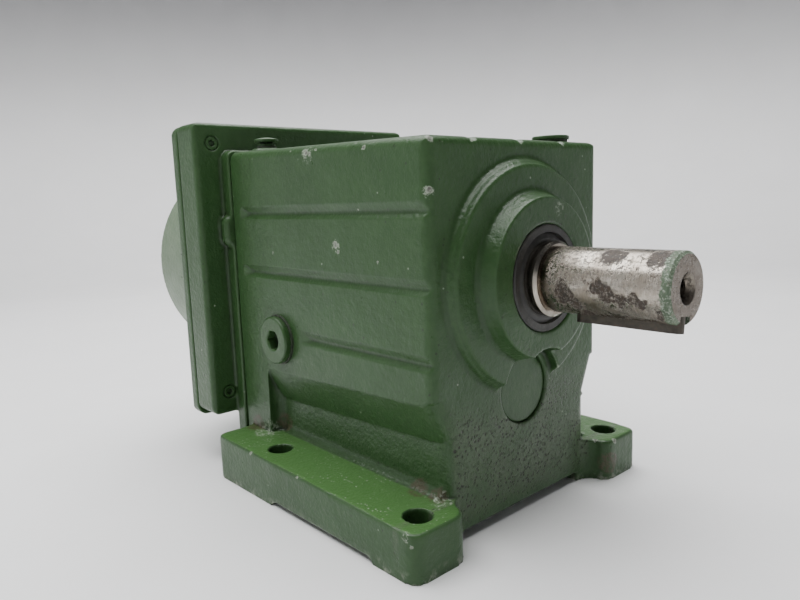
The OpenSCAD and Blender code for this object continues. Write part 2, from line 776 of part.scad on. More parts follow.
module output_key() {
    r = shaft_d / 2;
    key_x = shaft_end - 0.3;
    color(DARK_STEEL) rotate_on_axis(key_turn)
        key_shape(key_w - 2 * fit, key_h, key_x - key_len + 0.02, key_x, axis_h - r + 4 - key_h, true);
}

module gear_blank_cuts(g, z, bore, web_r0, web_r1, web_t) {
    x0 = g[3] - g[4];
    bar(bore + fit, x0 - 1, g[3] + 1, z = z);
    for (x = [x0 - 1, g[3] - web_t]) ring(web_r1, web_r0, x, x + web_t + 1, z = z);
}

module output_gear() {
    color(STEEL) difference() {
        teeth(OUT_GEAR, axis_h, -90);
        gear_blank_cuts(OUT_GEAR, axis_h, 19, 26, 35, 5);
        rotate_on_axis(key_turn) key_shape(10.04, 8, -20, 24, axis_h + 15.2, true);
    }
}

module output_gear_key() {
    color(DARK_STEEL) rotate_on_axis(key_turn) key_shape(10, 7.9, -12 + fit, 14 - fit, axis_h + 15, true);
}

module output_spacer() {
    color(STEEL) ring(19.5, 15 + fit, -31 + fit, -14 - fit);
}

module snap_ring(r_groove, r_out, x0, z) {
    color(DARK_STEEL) difference() {
        ring(r_out, r_groove + fit, x0, x0 + 1.2, z = z);
        translate([x0 - 1, -1.6, z]) cube([4, 3.2, r_out + 2]);
    }
}

module output_circlip() {
    snap_ring(14.2, 18, -45.3, axis_h);
}

// ---------- Output seal ----------

module seal_case() {
    color(RUBBER) turned([[25 - fit, boss2_x - 7.8], [25 - fit, boss2_x - 0.6], [24.2, boss2_x],
        [21.4, boss2_x], [21, boss2_x - 1.2], [21, boss2_x - 2.4], [23.4, boss2_x - 2.4],
        [23.4, boss2_x - 7.8]]);
}

module seal_lip() {
    seat = OUT_FRONT[0] / 2 + run;
    color(RUBBER) turned([[23.3, boss2_x - 2.6], [20.9, boss2_x - 2.6], [20.9, boss2_x - 1.4],
        [18.6, boss2_x - 0.5], [seat, boss2_x - 0.5], [seat, boss2_x - 1.3], [19.4, boss2_x - 2.8],
        [19, boss2_x - 4.4], [seat, boss2_x - 5.6], [seat, boss2_x - 6.2], [19.2, boss2_x - 6.6],
        [20.4, boss2_x - 6], [20.6, boss2_x - 3.7], [23.3, boss2_x - 3.7]]);
}

module seal_spring() {
    color(STEEL) translate([boss2_x - 5.2, 0, axis_h]) rotate([0, 90, 0])
        rotate_extrude($fn = 96) translate([21.35, 0]) circle(0.6, $fn = 24);
}

// ---------- Countershaft group ----------

module countershaft() {
    color(STEEL) difference() {
        union() {
            turned([[0, -80], [7.7, -80], [8.5, -79], [8.5, -77.6], [7.9, -77.6], [7.9, -76.2],
                [8.5, -76.2], [8.5, -31], [11, -31], [11, 34], [7.5, 34], [7.5, 44], [6.9, 44.6],
                [0, 44.6]], low_z);
            teeth(OUT_PINION, low_z, 90 + 180 / OUT_PINION[0]);
        }
        translate([0, 0, low_z + 5.5]) key_shape(5.04, 5, -75, -59, 0, true);
    }
}

module counter_gear() {
    color(STEEL) difference() {
        teeth(IN_GEAR, low_z, 90);
        gear_blank_cuts(IN_GEAR, low_z, 8.5, 15, 37, 4);
        key_shape(5.04, 6, -90, -50, low_z + 5.6, true);
        for (k = [0:4]) translate([0, 0, low_z]) rotate([72 * k + 36, 0, 0]) bar(6, -80, -50, 0, 26);
    }
}

module counter_gear_key() {
    color(DARK_STEEL) key_shape(5, 5, -75 + fit, -59 - fit, low_z + 5.5, true);
}

module counter_spacer() {
    color(STEEL) ring(12.5, 8.5 + fit, -58 + fit, -43 - fit, z = low_z);
}

module counter_circlip() {
    snap_ring(7.9, 11, -77.5, low_z);
}

// ---------- Input shaft group ----------

module input_shaft() {
    rear = motor_x + 4;
    depth = 27;
    seat = IN_REAR[0] / 2;
    groove = IN_REAR[5] - IN_REAR[2] - 0.3;
    color(STEEL) difference() {
        union() {
            turned([[0, rear], [11, rear], [12, rear + 1], [12, groove - 9], [seat, groove - 9],
                [seat, groove - 1.4], [seat - 0.8, groove - 1.4], [seat - 0.8, groove], [seat, groove],
                [seat, -95], [16, -95], [16, -91], [9, -91], [9, -54], [0, -54]]);
            teeth(IN_PINION, axis_h, 90 + 180 / IN_PINION[0] + 180);
        }
        bar(motor_bore / 2, rear - 1, rear + depth);
        translate([rear - 1, -2, axis_h]) cube([depth + 1, 4, motor_bore / 2 + 1.8]);
        bar(6.3, rear - 0.01, rear + 0.8, r2 = 5.5);
    }
}

module input_spacer() {
    color(STEEL) ring(16, 12.5 + fit, IN_REAR[5] + fit, IN_FRONT[5] - IN_FRONT[2] - fit);
}

module input_circlip() {
    snap_ring(11.7, 15, IN_REAR[5] - IN_REAR[2] - 1.6, axis_h);
}

module input_seal_case() {
    x = IN_REAR[5] - IN_REAR[2] - 8;
    color(RUBBER) turned([[20 - fit, x + 0.1], [16.2, x + 0.1], [16.2, x + 1.6], [18.6, x + 1.6],
        [18.6, x + 5.6], [20 - fit, x + 5.6]]);
}

module input_seal_lip() {
    x = IN_REAR[5] - IN_REAR[2] - 8;
    seat = IN_REAR[0] / 2 + run;
    color(RUBBER) turned([[18.5, x + 1.7], [14.6, x + 1.7], [seat, x + 3.6], [seat, x + 4.4], [14.8, x + 5],
        [15.6, x + 2.9], [18.5, x + 2.9]]);
}

housing();
closing_cap();
side_plugs();
side_plug_rings();
breather();
top_plug();
top_plug_rings();
cover_gasket();
rear_cover();
cover_screws();
cover_dowels();
adapter_gasket();
input_adapter();
adapter_screws();
bearing_bracket();
bracket_screws();
bracket_dowels();
output_shaft();
output_key();
output_gear();
output_gear_key();
output_spacer();
output_circlip();
seal_case();
seal_lip();
seal_spring();
bearing_ring(OUT_FRONT, axis_h, true);  // out_front_bearing_outer
bearing_ring(OUT_FRONT, axis_h, false);  // out_front_bearing_inner
ball_set(OUT_FRONT, axis_h);  // out_front_bearing_balls
bearing_ring(OUT_REAR, axis_h, true);  // out_rear_bearing_outer
bearing_ring(OUT_REAR, axis_h, false);  // out_rear_bearing_inner
ball_set(OUT_REAR, axis_h);  // out_rear_bearing_balls
countershaft();
counter_gear();
counter_gear_key();
counter_spacer();
counter_circlip();
bearing_ring(COUNTER_FRONT, low_z, true);  // counter_front_bearing_outer
bearing_ring(COUNTER_FRONT, low_z, false);  // counter_front_bearing_inner
ball_set(COUNTER_FRONT, low_z);  // counter_front_bearing_balls
bearing_ring(COUNTER_REAR, low_z, true);  // counter_rear_bearing_outer
bearing_ring(COUNTER_REAR, low_z, false);  // counter_rear_bearing_inner
ball_set(COUNTER_REAR, low_z);  // counter_rear_bearing_balls
input_shaft();
input_spacer();
input_circlip();
input_seal_case();
input_seal_lip();
bearing_ring(IN_FRONT, axis_h, true);  // input_front_bearing_outer
bearing_ring(IN_FRONT, axis_h, false);  // input_front_bearing_inner
ball_set(IN_FRONT, axis_h);  // input_front_bearing_balls
bearing_ring(IN_REAR, axis_h, true);  // input_rear_bearing_outer
bearing_ring(IN_REAR, axis_h, false);  // input_rear_bearing_inner
ball_set(IN_REAR, axis_h);  // input_rear_bearing_balls
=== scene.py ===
import bmesh
import bpy
import json
import math
from mathutils import Matrix, Vector


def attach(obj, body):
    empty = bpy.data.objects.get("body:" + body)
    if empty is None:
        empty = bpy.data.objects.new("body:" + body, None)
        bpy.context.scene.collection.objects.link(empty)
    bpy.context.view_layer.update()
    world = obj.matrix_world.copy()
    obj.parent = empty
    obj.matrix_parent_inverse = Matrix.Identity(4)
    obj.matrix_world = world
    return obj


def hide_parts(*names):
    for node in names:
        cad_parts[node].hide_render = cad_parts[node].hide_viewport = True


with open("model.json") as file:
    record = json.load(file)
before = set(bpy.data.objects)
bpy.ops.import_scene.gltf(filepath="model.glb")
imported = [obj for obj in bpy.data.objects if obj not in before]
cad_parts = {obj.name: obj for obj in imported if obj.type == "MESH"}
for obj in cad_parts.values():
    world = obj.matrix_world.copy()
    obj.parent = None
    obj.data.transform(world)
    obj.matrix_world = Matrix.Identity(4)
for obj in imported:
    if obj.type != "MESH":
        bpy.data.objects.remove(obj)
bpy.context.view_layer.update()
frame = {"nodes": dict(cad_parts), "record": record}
nodes = frame["nodes"]
slots = {s["node"]: s["material_slot"] for s in frame["record"]["subparts"]}

# Places on the part, in metres in the shared frame
AXIS_Z = 0.118
FRONT_X = 0.055
LOW_WALL_Y = 0.055
FOOT_TOP_Z = 0.0222
FOOT_RISE = 0.0029
FOOT_X = (-0.1005, 0.0672)
RIM_Z = (0.001, 0.030)
SIDE_RIM_Y = 0.0822
FRONT_RIM_X, FRONT_RIM_Y = 0.0622, 0.052
BACK_RIM_X, BACK_RIM_Y = -0.0950, 0.0665
SHOULDER_X = 0.0745
SHAFT_END_X = 0.1345
NECK_X = -0.1455
FLANGE_X = -0.1157
FLANGE_SCREWS = [(y, z) for y in (-0.069, 0.069) for z in (0.0434, 0.1924)]


# ---------- Node tree helpers ----------

class Tree:
    """Small helper for building a material out of named sockets and plain values."""

    def __init__(self, name):
        self.mat = bpy.data.materials.new(name)
        self.mat.use_nodes = True
        self.nt = self.mat.node_tree
        self.bsdf = self.nt.nodes["Principled BSDF"]
        self.coord = self.nt.nodes.new("ShaderNodeTexCoord").outputs["Object"]

    def plug(self, socket, value):
        if isinstance(value, bpy.types.NodeSocket):
            self.nt.links.new(value, socket)
        elif isinstance(value, (tuple, list)) and len(value) == 3 and socket.type == "RGBA":
            socket.default_value = (*value, 1)
        else:
            socket.default_value = value

    def node(self, kind, out=0, inputs=(), **settings):
        n = self.nt.nodes.new(kind)
        for k, v in settings.items():
            setattr(n, k, v)
        for key, v in dict(inputs).items():
            self.plug(n.inputs[key], v)
        return n.outputs[out]

    def math(self, op, a, b=0.0, c=0.0, clamp=False):
        return self.node("ShaderNodeMath", inputs={0: a, 1: b, 2: c}, operation=op,
                         use_clamp=clamp)

    def vec(self, op, a, b=(0, 0, 0), out=0):
        return self.node("ShaderNodeVectorMath", out, inputs={0: a, 1: b}, operation=op)

    def noise(self, scale, detail=3.0, rough=0.55, at=None, out=0):
        return self.node("ShaderNodeTexNoise", out, inputs={
            "Vector": at or self.coord, "Scale": scale, "Detail": detail, "Roughness": rough})

    def ramp(self, value, low, high, a=0.0, b=1.0, smooth=False):
        n = self.nt.nodes.new("ShaderNodeMapRange")
        n.clamp = True
        n.interpolation_type = "SMOOTHSTEP" if smooth else "LINEAR"
        for key, v in (("Value", value), ("From Min", low), ("From Max", high),
                       ("To Min", a), ("To Max", b)):
            self.plug(n.inputs[key], v)
        return n.outputs["Result"]

    def mix(self, fac, a, b):
        n = self.nt.nodes.new("ShaderNodeMix")
        n.data_type = "RGBA"
        for i, v in ((0, fac), (6, a), (7, b)):
            self.plug(n.inputs[i], v)
        return n.outputs[2]

    def mul(self, a, b):
        return self.math("MULTIPLY", a, b, clamp=True)

    def either(self, a, b):
        return self.math("MAXIMUM", a, b)

    def split(self, vector):
        n = self.nt.nodes.new("ShaderNodeSeparateXYZ")
        self.plug(n.inputs[0], vector)
        return n.outputs

    def xyz(self):
        return self.split(self.coord)

    def normal_xyz(self):
        return self.split(self.node("ShaderNodeTexCoord", "Normal"))

    def mapped(self, scale, turn=0.0):
        """The object coordinates scaled, and turned about z."""
        return self.node("ShaderNodeMapping", inputs={
            "Vector": self.coord, "Scale": scale, "Rotation": (0, 0, turn)})

    def pointiness(self):
        return self.node("ShaderNodeNewGeometry", "Pointiness")

    def hollow(self, distance):
        """1 in tight corners, 0 in the open."""
        ao = self.node("ShaderNodeAmbientOcclusion", "AO", inputs={"Distance": distance}, samples=6)
        return self.math("SUBTRACT", 1.0, ao, clamp=True)

    def bump(self, height, strength, distance, onto=None):
        ins = {"Height": height, "Strength": strength, "Distance": distance}
        if onto is not None:
            ins["Normal"] = onto
        return self.node("ShaderNodeBump", inputs=ins)

    def finish(self, color, rough, metal=0.0, normal=None, spec=0.5):
        self.plug(self.bsdf.inputs["Base Color"], color)
        self.plug(self.bsdf.inputs["Roughness"], rough)
        self.plug(self.bsdf.inputs["Metallic"], metal)
        self.plug(self.bsdf.inputs["Specular IOR Level"], spec)
        if normal is not None:
            self.plug(self.bsdf.inputs["Normal"], normal)
        return self.mat


# ---------- Shared material layers ----------

def patches(t, marks, grain, ragged):
    """1 within any mark (x, y, z, radius) of the list.

    The outlines wander by up to ragged, with a noise of scale grain.
    """
    shift = t.vec("SUBTRACT", t.noise(grain, 4, 0.6, out=1), (0.5, 0.5, 0.5))
    scaled = t.nt.nodes.new("ShaderNodeVectorMath")
    scaled.operation = "SCALE"
    t.plug(scaled.inputs[0], shift)
    scaled.inputs["Scale"].default_value = ragged
    place = t.vec("ADD", t.coord, scaled.outputs[0])
    total = 0.0
    for x, y, z, r in marks:
        near = t.ramp(t.vec("DISTANCE", place, (x, y, z), out=1), r, r * 0.8)
        total = near if total == 0.0 else t.either(total, near)
    return total


def specks(t, scale, share, size):
    """Small round specks in a share of the cells of a grid, size in cells."""
    v = t.nt.nodes.new("ShaderNodeTexVoronoi")
    t.plug(v.inputs["Vector"], t.coord)
    v.inputs["Scale"].default_value = scale
    dot = t.ramp(v.outputs["Distance"], size, size * 0.6)
    tone = t.nt.nodes.new("ShaderNodeSeparateColor")
    t.plug(tone.inputs[0], v.outputs["Color"])
    return t.mul(dot, t.ramp(tone.outputs[0], 1 - share, 1 - share + 0.01))


PAINT_DARK = (0.026, 0.065, 0.020)
PAINT_MID = (0.031, 0.076, 0.024)
PAINT_LIGHT = (0.054, 0.112, 0.042)
PAINT_WORN = (0.42, 0.47, 0.38)
IRON = (0.11, 0.105, 0.095)
DUST = (0.36, 0.37, 0.31)
DIRT = (0.075, 0.058, 0.036)
RUST = (0.095, 0.040, 0.018)
CORNER_DIRT_AND_SHADE = (0.020, 0.030, 0.015)
CREASE_SHADE = (0.010, 0.018, 0.008)
SPECK_DARK = (0.018, 0.022, 0.014)
NECK_PALE = (0.21, 0.275, 0.19)
RING_WEAR_AND_HIGHLIGHT = (0.50, 0.56, 0.44)
FOOT_TOP_LIT_GREEN = (0.070, 0.165, 0.046)
PIT_FIELD = (0.115, 0.135, 0.095)
PIT = (0.014, 0.014, 0.009)
STEEL_DULL, STEEL_BRIGHT = (0.31, 0.285, 0.245), (0.47, 0.44, 0.385)
STEEL_FILM = (0.150, 0.100, 0.060)
SHOULDER_RUST = (0.085, 0.045, 0.024)
OLD_RUST, FRESH_RUST = (0.011, 0.008, 0.006), (0.042, 0.022, 0.012)
FACE_FILM = (0.115, 0.085, 0.058)
HOLE_SHADE = (0.035, 0.028, 0.020)
SPRAY_DARK, SPRAY_PALE = (0.085, 0.125, 0.075), (0.34, 0.38, 0.32)


def paint(name, chips=(), dirt=(), scuffs=(), pits=False, foot=False, edge=0.5, dirt_and_shade=1.0,
          cast=1.0, pale_x=None):
    """Green enamel over cast iron.

    chips, dirt and scuffs are lists of marks. pits darkens the low front face and draws a pale
    line, partly wear and partly painted highlight, on the far crest of the shaft boss. foot
    scratches the tops of the feet and paints them a lighter green as painted light from above.
    edge, grime and cast are the strength of the worn edges and of the painted highlight on crests,
    of the dirt and painted shade in corners and creases, and of the casting skin. Beyond pale_x the
    paint is rubbed pale.
    """
    t = Tree(name)
    x, y, z = t.xyz()
    nx, _, nz = t.normal_xyz()
    broad = t.noise(22, 4, 0.6)
    fine = t.noise(260, 5, 0.65)
    color = t.mix(t.ramp(broad, 0.35, 0.65), PAINT_DARK, PAINT_MID)
    color = t.mix(t.ramp(fine, 0.42, 0.72, 0, 0.30), color, PAINT_LIGHT)
    # Painted highlight: crests are painted a lighter green, standing in for light caught by rounded
    # edges
    point = t.pointiness()
    crest = t.ramp(point, 0.515, 0.60, smooth=True)
    color = t.mix(t.mul(crest, 0.45 * edge), color, PAINT_LIGHT)
    # Dust on what faces up
    dusty = t.mul(t.ramp(nz, 0.6, 0.98),
                  t.ramp(t.noise(60, 6, 0.7), 0.35, 0.75, 0.0, 0.07))
    color = t.mix(dusty, color, DUST)
    if pale_x is not None:
        neck = t.mul(t.ramp(x, pale_x - 0.001, pale_x - 0.008),
                     t.ramp(t.noise(70, 5, 0.7), 0.30, 0.70, 0.45, 0.75))
        neck = t.mul(neck, t.ramp(nx, -0.9, -0.5))
        color = t.mix(neck, color, NECK_PALE)
    # Dirt and painted shade in the corners: darker green where ambient occlusion finds a hollow
    hollow_dirt_and_shade = t.mul(t.hollow(0.009), t.ramp(t.noise(90, 5, 0.7), 0.3, 0.7, 0.35, 1.0))
    color = t.mix(t.mul(t.ramp(hollow_dirt_and_shade, 0.25, 0.85), 0.75 * dirt_and_shade), color, CORNER_DIRT_AND_SHADE)
    # Painted shade: concave creases are painted darker green
    crease_shade = t.mul(t.ramp(point, 0.497, 0.470),
                   t.ramp(t.noise(120, 4, 0.6), 0.25, 0.6, 0.6, 1.0))
    color = t.mix(t.mul(crease_shade, 0.72 * dirt_and_shade), color, CREASE_SHADE)
    # Small light and dark specks everywhere
    light = specks(t, 380, 0.011, 0.24)
    dark = specks(t, 420, 0.05, 0.30)
    color = t.mix(t.mul(dark, 0.6), color, SPECK_DARK)
    color = t.mix(t.mul(light, 0.55), color, PAINT_WORN)
    # Worn crests: primer showing in broken lines
    broken = t.mul(t.ramp(point, 0.555, 0.60), t.ramp(t.noise(190, 6, 0.75), 0.56, 0.66))
    worn = t.mul(broken, edge)
    color = t.mix(t.mul(worn, 0.75), color, PAINT_WORN)
    bare = 0.0
    if pits:
        # Rubbed far edge of the boss round the shaft: a pale line along its crest, partly wear and
        # partly a painted highlight
        ring = t.mul(t.ramp(x, FRONT_X + 0.003, FRONT_X + 0.004), t.ramp(y, 0.006, 0.020))
        line = t.mul(t.mul(ring, t.ramp(point, 0.535, 0.575)),
                     t.ramp(t.noise(160, 4, 0.7), 0.30, 0.48, 0.25, 1.0))
        color = t.mix(t.mul(line, 0.75), color, RING_WEAR_AND_HIGHLIGHT)
    if foot:
        top = t.mul(t.ramp(nz, 0.9, 0.97), t.ramp(z, 0.034, 0.030))
        salt = t.mul(t.either(specks(t, 700, 0.16, 0.34), specks(t, 300, 0.06, 0.22)),
                     t.ramp(t.noise(45, 4, 0.6), 0.35, 0.60, 0.15, 1.0))
        # Painted light: the tops of the feet are painted a lighter green for the light falling on
        # them from above
        color = t.mix(t.mul(top, 0.80), color, FOOT_TOP_LIT_GREEN)
        color = t.mix(t.mul(t.mul(salt, top), 0.60), color, PAINT_WORN)
        # Long fine scratches along the foot
        lines = t.mapped((0.06, 1.3, 1), turn=0.12)
        scratch = t.mul(t.ramp(t.noise(900, 2, 0.5, at=lines), 0.69, 0.73),
                        t.ramp(t.noise(50, 2), 0.5, 0.62))
        color = t.mix(t.mul(t.mul(scratch, top), 0.5), color, PAINT_WORN)
        # Floor scuffs round the lower rim of the foot
        rim = t.mul(t.ramp(z, 0.006, 0.0005), t.ramp(t.noise(220, 5, 0.7), 0.5, 0.66))
        color = t.mix(t.mul(rim, 0.6), color, DUST)
    pit_dark = 0.0
    if pits:
        # Pitted and stained skin low on the front face
        depth = t.mul(t.ramp(x, FRONT_X - 0.0015, FRONT_X - 0.0005),
                      t.ramp(x, FRONT_X + 0.0030, FRONT_X + 0.0015))
        zone = t.mul(depth, t.mul(t.ramp(z, 0.070, 0.050), t.ramp(z, 0.004, 0.016)))
        zone = t.mul(zone, t.ramp(t.noise(38, 4, 0.6), 0.36, 0.54, 0.35, 1.0))
        field = t.either(specks(t, 560, 0.32, 0.42), specks(t, 330, 0.17, 0.36))
        ragged = t.ramp(t.noise(640, 4, 0.75), 0.575, 0.63)
        pit_dark = t.mul(t.either(field, t.mul(ragged, 0.8)), zone)
        color = t.mix(t.mul(zone, 0.35), color, PIT_FIELD)
        color = t.mix(t.mul(pit_dark, 0.95), color, PIT)
    if dirt:
        brown = t.mul(patches(t, dirt, 240, 0.006),
                      t.ramp(t.noise(420, 4, 0.7), 0.40, 0.55, 0.2, 1.0))
        color = t.mix(t.mul(brown, 0.75), color, DIRT)
    if scuffs:
        rub = t.mul(patches(t, scuffs, 300, 0.004), t.ramp(t.noise(500, 4, 0.8), 0.50, 0.60))
        color = t.mix(t.mul(rub, 0.65), color, PAINT_WORN)
    if chips:
        chip = patches(t, chips, 620, 0.0030)
        rim = patches(t, [(a, b, c, r * 1.35) for a, b, c, r in chips], 620, 0.0030)
        color = t.mix(t.mul(rim, 0.7), color, PAINT_WORN)
        metal = t.mul(chip, t.ramp(t.noise(900, 2), 0.35, 0.6, 0.25, 0.95))
        color = t.mix(metal, color, IRON)
        bare = chip
    rough = t.ramp(t.noise(140, 5, 0.7), 0.3, 0.7, 0.27, 0.38)
    rough = t.math("ADD", rough, t.math("MULTIPLY", t.either(worn, dusty), 0.25), clamp=True)
    sand = t.bump(t.noise(420, 2, 0.5), 0.45 * cast, 0.0007)
    grain = t.bump(t.noise(1300, 2, 0.5), 0.45 * cast, 0.00028, onto=sand)
    waves = t.bump(t.noise(55, 1, 0.5), 0.5 * cast, 0.0014, onto=grain)
    cut = t.either(t.mul(worn, 0.5), t.either(bare, pit_dark))
    normal = t.bump(t.math("SUBTRACT", 1.0, cut), 0.8, 0.00035, onto=waves)
    return t.finish(color, rough, normal=normal, spec=0.30)


# ---------- Steel, rubber and the rest ----------

SHAFT_RUST = [(0.0870, -0.0146, 0.1145, 0.0056), (0.0925, -0.0125, 0.1100, 0.0038),
              (0.1035, -0.0149, 0.1180, 0.0040), (0.1085, -0.0147, 0.1150, 0.0052),
              (0.1135, -0.0140, 0.1125, 0.0034), (0.1185, -0.0146, 0.1150, 0.0036),
              (0.1225, -0.0138, 0.1122, 0.0028), (0.1070, -0.0078, 0.1308, 0.0062),
              (0.1275, -0.0083, 0.1305, 0.0060), (0.0990, 0.0060, 0.1317, 0.0050),
              (0.1180, 0.0120, 0.1270, 0.0060), (0.0880, 0.0145, 0.1140, 0.0060),
              (0.1100, 0.0080, 0.1053, 0.0070), (0.1300, -0.0110, 0.1078, 0.0042),
              (0.0960, -0.0060, 0.1043, 0.0050)]
SEAL_NICKS = [(0.0650, 0.0020, 0.1405, 0.0011), (0.0650, -0.0020, 0.0962, 0.0011)]


def shaft_steel():
    """Turned steel with a polished seal band, rust patches and overspray at the free end."""
    t = Tree("shaft_steel_m")
    x, _, z = t.xyz()
    nx = t.normal_xyz()[0]
    turned = t.noise(260, 3, 0.6, at=t.mapped((14, 1, 1)))
    color = t.mix(t.ramp(turned, 0.35, 0.65), STEEL_DULL, STEEL_BRIGHT)
    # Thin brown film, heavier low down and faint at the shoulder and behind it
    film = t.mul(t.ramp(t.noise(95, 6, 0.72), 0.38, 0.60),
                 t.ramp(z, AXIS_Z + 0.010, AXIS_Z - 0.012, 0.55, 0.95))
    film = t.mul(film, t.ramp(x, SHOULDER_X, SHOULDER_X + 0.004, 0.15, 1.0))
    color = t.mix(t.mul(film, 0.55), color, STEEL_FILM)
    # Dark rust patches
    area = patches(t, SHAFT_RUST, 230, 0.0100)
    speckle = t.ramp(t.noise(650, 6, 0.9), 0.42, 0.47)
    rust = t.mul(area, speckle)
    # Small rust specks, densest near the shoulder
    near = t.either(t.ramp(x, 0.100, 0.086), t.ramp(t.noise(75, 3), 0.44, 0.60))
    scatter = t.mul(t.mul(t.ramp(t.noise(600, 6, 0.85), 0.53, 0.57), near),
                    t.ramp(x, SHOULDER_X + 0.003, SHOULDER_X + 0.006))
    rust = t.either(rust, t.mul(scatter, 0.85))
    # Rust ring right at the shoulder
    ring = t.mul(t.ramp(x, SHOULDER_X - 0.0003, SHOULDER_X + 0.0005),
                 t.ramp(x, SHOULDER_X + 0.0060, SHOULDER_X + 0.0012))
    ring = t.mul(ring, t.ramp(t.noise(300, 5, 0.7), 0.34, 0.52, 0.2, 1.0))
    color = t.mix(t.mul(ring, 0.85), color, SHOULDER_RUST)
    rust_color = t.mix(t.ramp(t.noise(480, 4, 0.7), 0.35, 0.65), OLD_RUST, FRESH_RUST)
    color = t.mix(t.mul(rust, 0.93), color, rust_color)
    # End face: brown-grey film, and the threaded hole in it painted darker as painted shade
    face = t.mul(t.ramp(nx, 0.80, 0.95), t.ramp(x, 0.10, 0.11))
    smear = t.mul(face, t.ramp(t.noise(200, 5, 0.7), 0.3, 0.65, 0.45, 0.92))
    color = t.mix(smear, color, FACE_FILM)
    across = t.vec("MULTIPLY", t.vec("SUBTRACT", t.coord, (0, 0, AXIS_Z)), (0, 1, 1))
    radius = t.vec("LENGTH", across, out=1)
    hole = t.mul(t.ramp(radius, 0.0072, 0.0066), t.ramp(x, 0.085, 0.09))
    color = t.mix(t.mul(hole, 0.6), color, HOLE_SHADE)
    # Green overspray on the last few millimetres
    broken = t.math("MULTIPLY", t.math("SUBTRACT", t.noise(300, 5, 0.75), 0.5), 0.005)
    band = t.math("ADD", x, broken)
    over = t.mul(t.ramp(band, SHAFT_END_X - 0.0046, SHAFT_END_X - 0.0040), t.ramp(nx, 0.95, 0.80))
    over = t.mul(over, t.ramp(t.noise(700, 4, 0.8), 0.34, 0.42, 0.15, 1.0))
    over = t.mul(over, t.math("SUBTRACT", 1.0, hole))
    green = t.mix(t.ramp(t.noise(900, 4, 0.8), 0.52, 0.60), SPRAY_DARK, SPRAY_PALE)
    color = t.mix(over, color, green)
    cover = t.either(rust, over)
    dull = t.math("MULTIPLY", t.either(cover, t.mul(face, 0.7)), 0.92)
    metal = t.math("SUBTRACT", 1.0, dull, clamp=True)
    rough = t.ramp(t.noise(170, 5, 0.7), 0.3, 0.7, 0.13, 0.23)
    matt = t.math("MULTIPLY", t.either(cover, t.mul(film, 0.5)), 0.45)
    rough = t.math("ADD", rough, matt, clamp=True)
    lathe = t.bump(turned, 0.22, 0.00010)
    pitted = t.bump(t.math("SUBTRACT", 1.0, rust), 0.75, 0.00022, onto=lathe)
    return t.finish(color, rough, metal, normal=pitted)


def steel(name, base, worn, rust=0.3, rough=0.4, scale=300, metal=1.0):
    """Machined or plain steel with a stained film and specks of rust."""
    t = Tree(name)
    color = t.mix(t.ramp(t.noise(scale, 4, 0.65), 0.35, 0.65), base, worn)
    spots = t.mul(t.ramp(t.noise(scale * 2, 6, 0.8), 0.54, 0.64),
                  t.ramp(t.noise(scale / 4, 3), 0.40, 0.60, 0.2, 1.0))
    spots = t.mul(spots, rust)
    color = t.mix(spots, color, RUST)
    grey = t.ramp(t.noise(scale / 2, 5, 0.7), 0.3, 0.7, rough - 0.08, rough + 0.12)
    grey = t.math("ADD", grey, t.math("MULTIPLY", spots, 0.35), clamp=True)
    shine = t.math("SUBTRACT", metal, spots, clamp=True)
    normal = t.bump(t.noise(scale * 3, 3, 0.6), 0.25, 0.00015)
    return t.finish(color, grey, shine, normal=normal)


def rubber(name):
    """Black nitrile rubber with grease sheen, settled dust and two nicks in its rim."""
    t = Tree(name)
    nz = t.normal_xyz()[2]
    grease = t.ramp(t.noise(210, 4, 0.7), 0.35, 0.7)
    color = t.mix(grease, (0.010, 0.010, 0.009), (0.030, 0.029, 0.025))
    dots = t.mul(specks(t, 900, 0.10, 0.32), t.ramp(t.noise(120, 3), 0.45, 0.60))
    color = t.mix(t.mul(dots, 0.5), color, (0.16, 0.15, 0.12))
    color = t.mix(t.mul(t.ramp(nz, 0.3, 0.9), 0.12), color, DUST)
    nicks = patches(t, SEAL_NICKS, 900, 0.0006)
    color = t.mix(t.mul(nicks, 0.8), color, (0.45, 0.44, 0.40))
    rough = t.ramp(t.noise(160, 4, 0.7), 0.3, 0.7, 0.38, 0.62)
    return t.finish(color, rough, normal=t.bump(t.noise(800, 3, 0.6), 0.3, 0.00012))


def soft_sheet(name, base, other):
    """Fibre gasket or bonded seal ring."""
    t = Tree(name)
    color = t.mix(t.ramp(t.noise(500, 5, 0.7), 0.35, 0.65), base, other)
    rough = t.ramp(t.noise(300, 3), 0.3, 0.7, 0.6, 0.85)
    return t.finish(color, rough, normal=t.bump(t.noise(1400, 3, 0.6), 0.4, 0.0001))


# ---------- Castings with blended edges ----------

def wedge_along_foot(side):
    """Concave fillet between the lower wall and the top of one foot, as a closed bar."""
    r = 0.0055
    sunk = 0.003
    steps = 8
    arc = [(LOW_WALL_Y + r - r * math.sin(a), r - r * math.cos(a))
           for a in (math.pi / 2 * k / steps for k in range(steps + 1))]
    outline = [(LOW_WALL_Y - sunk, -sunk), (LOW_WALL_Y + r, -sunk), *arc, (LOW_WALL_Y - sunk, r)]
    ends = (-0.074, FRONT_X - 0.004)
    verts = []
    for x in ends:
        top = FOOT_TOP_Z + FOOT_RISE * (FOOT_X[1] - x) / (FOOT_X[1] - FOOT_X[0])
        verts += [(x, side * y, top + dz) for y, dz in outline]
    n = len(outline)
    faces = [(i, (i + 1) % n, n + (i + 1) % n, n + i) for i in range(n)]
    faces += [tuple(range(n))[::-1], tuple(range(n, 2 * n))]
    return verts, faces


